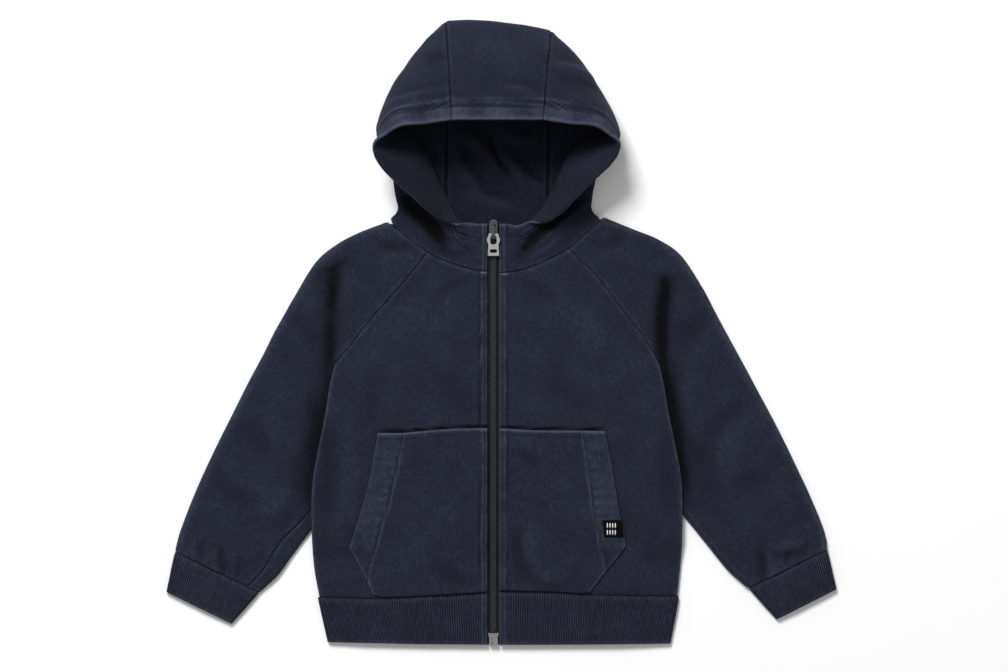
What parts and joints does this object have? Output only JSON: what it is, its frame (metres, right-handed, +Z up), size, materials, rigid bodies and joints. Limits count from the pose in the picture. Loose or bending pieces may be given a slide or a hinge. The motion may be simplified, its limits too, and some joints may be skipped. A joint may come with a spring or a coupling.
{
  "type": "toddler zip hoodie",
  "caption": "Hooded zip-front toddler sweatshirt laid flat, with raglan sleeves, ribbed cuffs and hem, a split front pocket and a hinged zip pull tab.",
  "frame": {"origin": "middle of the laid-out garment's footprint, on the surface that it lies on", "axes": "+X to the picture's right across the sleeves, +Y from the hem to the hood, +Z up from the surface"},
  "size_m": [0.6368, 0.5913, 0.0657],
  "materials": {
    "fleece": "garment-washed navy sweatshirt fleece, matt with a light nap",
    "rib": "navy rib knit",
    "zip_tape": "woven black tape",
    "zip_coil": "dark nylon coil",
    "dark_metal": "gunmetal lacquer",
    "silver_metal": "pale nickel",
    "side_label": "black twill label"
  },
  "bodies": {
    "garment": {"back_panel": "fleece", "front_left": "fleece", "front_right": "fleece", "sleeve_left": "fleece", "sleeve_right": "fleece", "hood_center": "fleece", "hood_side_left": "fleece", "hood_side_right": "fleece", "pocket_left": "fleece", "pocket_right": "fleece", "cuff_left": "rib", "cuff_right": "rib", "hem_band": "rib", "zip_tape_left": "zip_tape", "zip_tape_right": "zip_tape", "zip_chain": "zip_coil", "zip_slider": "dark_metal", "zip_box": "silver_metal", "label": "side_label"},
    "pull": {"zip_pull": "silver_metal"}
  },
  "joints": [
    {"name": "pull_hinge", "type": "hinge", "parent": "garment", "child": "pull", "pos_m": [-0.0076, 0.0939, 0.01347], "axis": [-1, 0, 0], "range_deg": [0, 150]}
  ]
}
